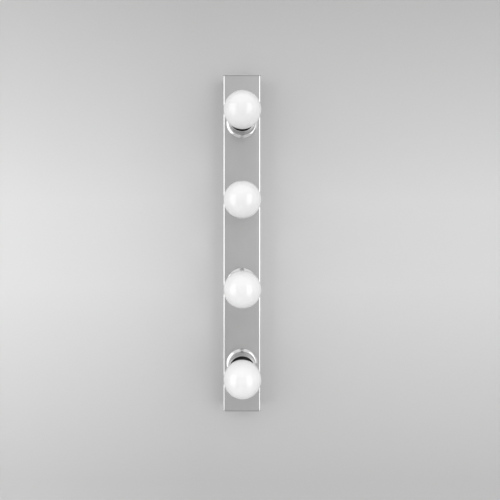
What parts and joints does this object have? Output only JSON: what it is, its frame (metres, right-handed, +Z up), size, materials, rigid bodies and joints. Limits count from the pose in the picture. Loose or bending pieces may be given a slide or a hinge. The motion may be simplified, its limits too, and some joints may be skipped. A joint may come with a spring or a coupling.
{
  "type": "vanity light bar",
  "caption": "Slim upright bar light: a satin metal channel on a wall plate, with a row of chrome cups that each hold a screw-in opal globe lamp.",
  "frame": {"origin": "the middle of the wall plate's back face, on the wall", "axes": "+Z up along the bar, +Y into the wall, +X to the right as one faces the bar; the lamps stand out along -Y"},
  "size_m": [0.067, 0.1452, 0.605],
  "materials": {
    "satin_metal": "satin, fine lengthwise grain, polished along the rounded long edges",
    "chrome": "mirror polished",
    "zinc_steel": "bright zinc plate",
    "black_phenolic": "moulded, semi-matt",
    "nickel_brass": "nickel plated, rolled",
    "spring_bronze": "bare strip",
    "opal_diffuser": "opal white, glossy",
    "white_housing": "moulded, semi-matt",
    "led_board": "white solder mask",
    "lamp_contact": "tinned contact in a black glass bead",
    "bushing_rubber": "matt",
    "terminal_nylon": "natural nylon",
    "wire_live": "brown insulation",
    "wire_neutral": "blue insulation",
    "wire_earth": "green and yellow insulation"
  },
  "bodies": {
    "fixture": {"front_channel": "satin_metal", "end_cap_top": "satin_metal", "end_cap_bottom": "satin_metal", "cover_screw_top": "chrome", "cover_screw_bottom": "chrome", "wall_plate": "zinc_steel", "cable_bushing": "bushing_rubber", "terminal_block": "terminal_nylon", "terminal_block_screw": "zinc_steel", "earth_screw": "zinc_steel", "earth_wire": "wire_earth", "live_wire_1": "wire_live", "live_wire_2": "wire_live", "live_wire_3": "wire_live", "live_wire_4": "wire_live", "neutral_wire_1": "wire_neutral", "neutral_wire_2": "wire_neutral", "neutral_wire_3": "wire_neutral", "neutral_wire_4": "wire_neutral", "cup_1": "chrome", "cup_2": "chrome", "cup_3": "chrome", "cup_4": "chrome", "lampholder_1": "black_phenolic", "lampholder_2": "black_phenolic", "lampholder_3": "black_phenolic", "lampholder_4": "black_phenolic", "lampholder_nut_1": "black_phenolic", "lampholder_nut_2": "black_phenolic", "lampholder_nut_3": "black_phenolic", "lampholder_nut_4": "black_phenolic", "lampholder_shell_1": "nickel_brass", "lampholder_shell_2": "nickel_brass", "lampholder_shell_3": "nickel_brass", "lampholder_shell_4": "nickel_brass", "lampholder_contact_1": "spring_bronze", "lampholder_contact_2": "spring_bronze", "lampholder_contact_3": "spring_bronze", "lampholder_contact_4": "spring_bronze"},
    "lamp_1_travel": {"lamp_contact_1": "lamp_contact"},
    "lamp_2_travel": {"lamp_contact_2": "lamp_contact"},
    "lamp_3_travel": {"lamp_contact_3": "lamp_contact"},
    "lamp_4_travel": {"lamp_contact_4": "lamp_contact"},
    "lamp_1": {"globe_1": "opal_diffuser", "lamp_collar_1": "white_housing", "led_board_1": "led_board", "lamp_cap_1": "nickel_brass"},
    "lamp_2": {"globe_2": "opal_diffuser", "lamp_collar_2": "white_housing", "led_board_2": "led_board", "lamp_cap_2": "nickel_brass"},
    "lamp_3": {"globe_3": "opal_diffuser", "lamp_collar_3": "white_housing", "led_board_3": "led_board", "lamp_cap_3": "nickel_brass"},
    "lamp_4": {"globe_4": "opal_diffuser", "lamp_collar_4": "white_housing", "led_board_4": "led_board", "lamp_cap_4": "nickel_brass"}
  },
  "joints": [
    {"name": "lamp_1_out", "type": "slide", "parent": "fixture", "child": "lamp_1_travel", "axis": [0, -1, 0], "range_m": [0, 0.01815]},
    {"name": "lamp_2_out", "type": "slide", "parent": "fixture", "child": "lamp_2_travel", "axis": [0, -1, 0], "range_m": [0, 0.01815]},
    {"name": "lamp_3_out", "type": "slide", "parent": "fixture", "child": "lamp_3_travel", "axis": [0, -1, 0], "range_m": [0, 0.01815]},
    {"name": "lamp_4_out", "type": "slide", "parent": "fixture", "child": "lamp_4_travel", "axis": [0, -1, 0], "range_m": [0, 0.01815]},
    {"name": "lamp_1_turn", "type": "hinge", "parent": "lamp_1_travel", "child": "lamp_1", "pos_m": [0, -0.115, 0.21525], "axis": [0, -1, 0], "range_deg": [0, 1800]},
    {"name": "lamp_2_turn", "type": "hinge", "parent": "lamp_2_travel", "child": "lamp_2", "pos_m": [0, -0.115, 0.07175], "axis": [0, -1, 0], "range_deg": [0, 1800]},
    {"name": "lamp_3_turn", "type": "hinge", "parent": "lamp_3_travel", "child": "lamp_3", "pos_m": [0, -0.115, -0.07175], "axis": [0, -1, 0], "range_deg": [0, 1800]},
    {"name": "lamp_4_turn", "type": "hinge", "parent": "lamp_4_travel", "child": "lamp_4", "pos_m": [0, -0.115, -0.21525], "axis": [0, -1, 0], "range_deg": [0, 1800]}
  ],
  "couplings": [
    {"joint": "lamp_1_out", "follows": "lamp_1_turn", "m_per_rad": 0.00057757},
    {"joint": "lamp_2_out", "follows": "lamp_2_turn", "m_per_rad": 0.00057757},
    {"joint": "lamp_3_out", "follows": "lamp_3_turn", "m_per_rad": 0.00057757},
    {"joint": "lamp_4_out", "follows": "lamp_4_turn", "m_per_rad": 0.00057757}
  ]
}
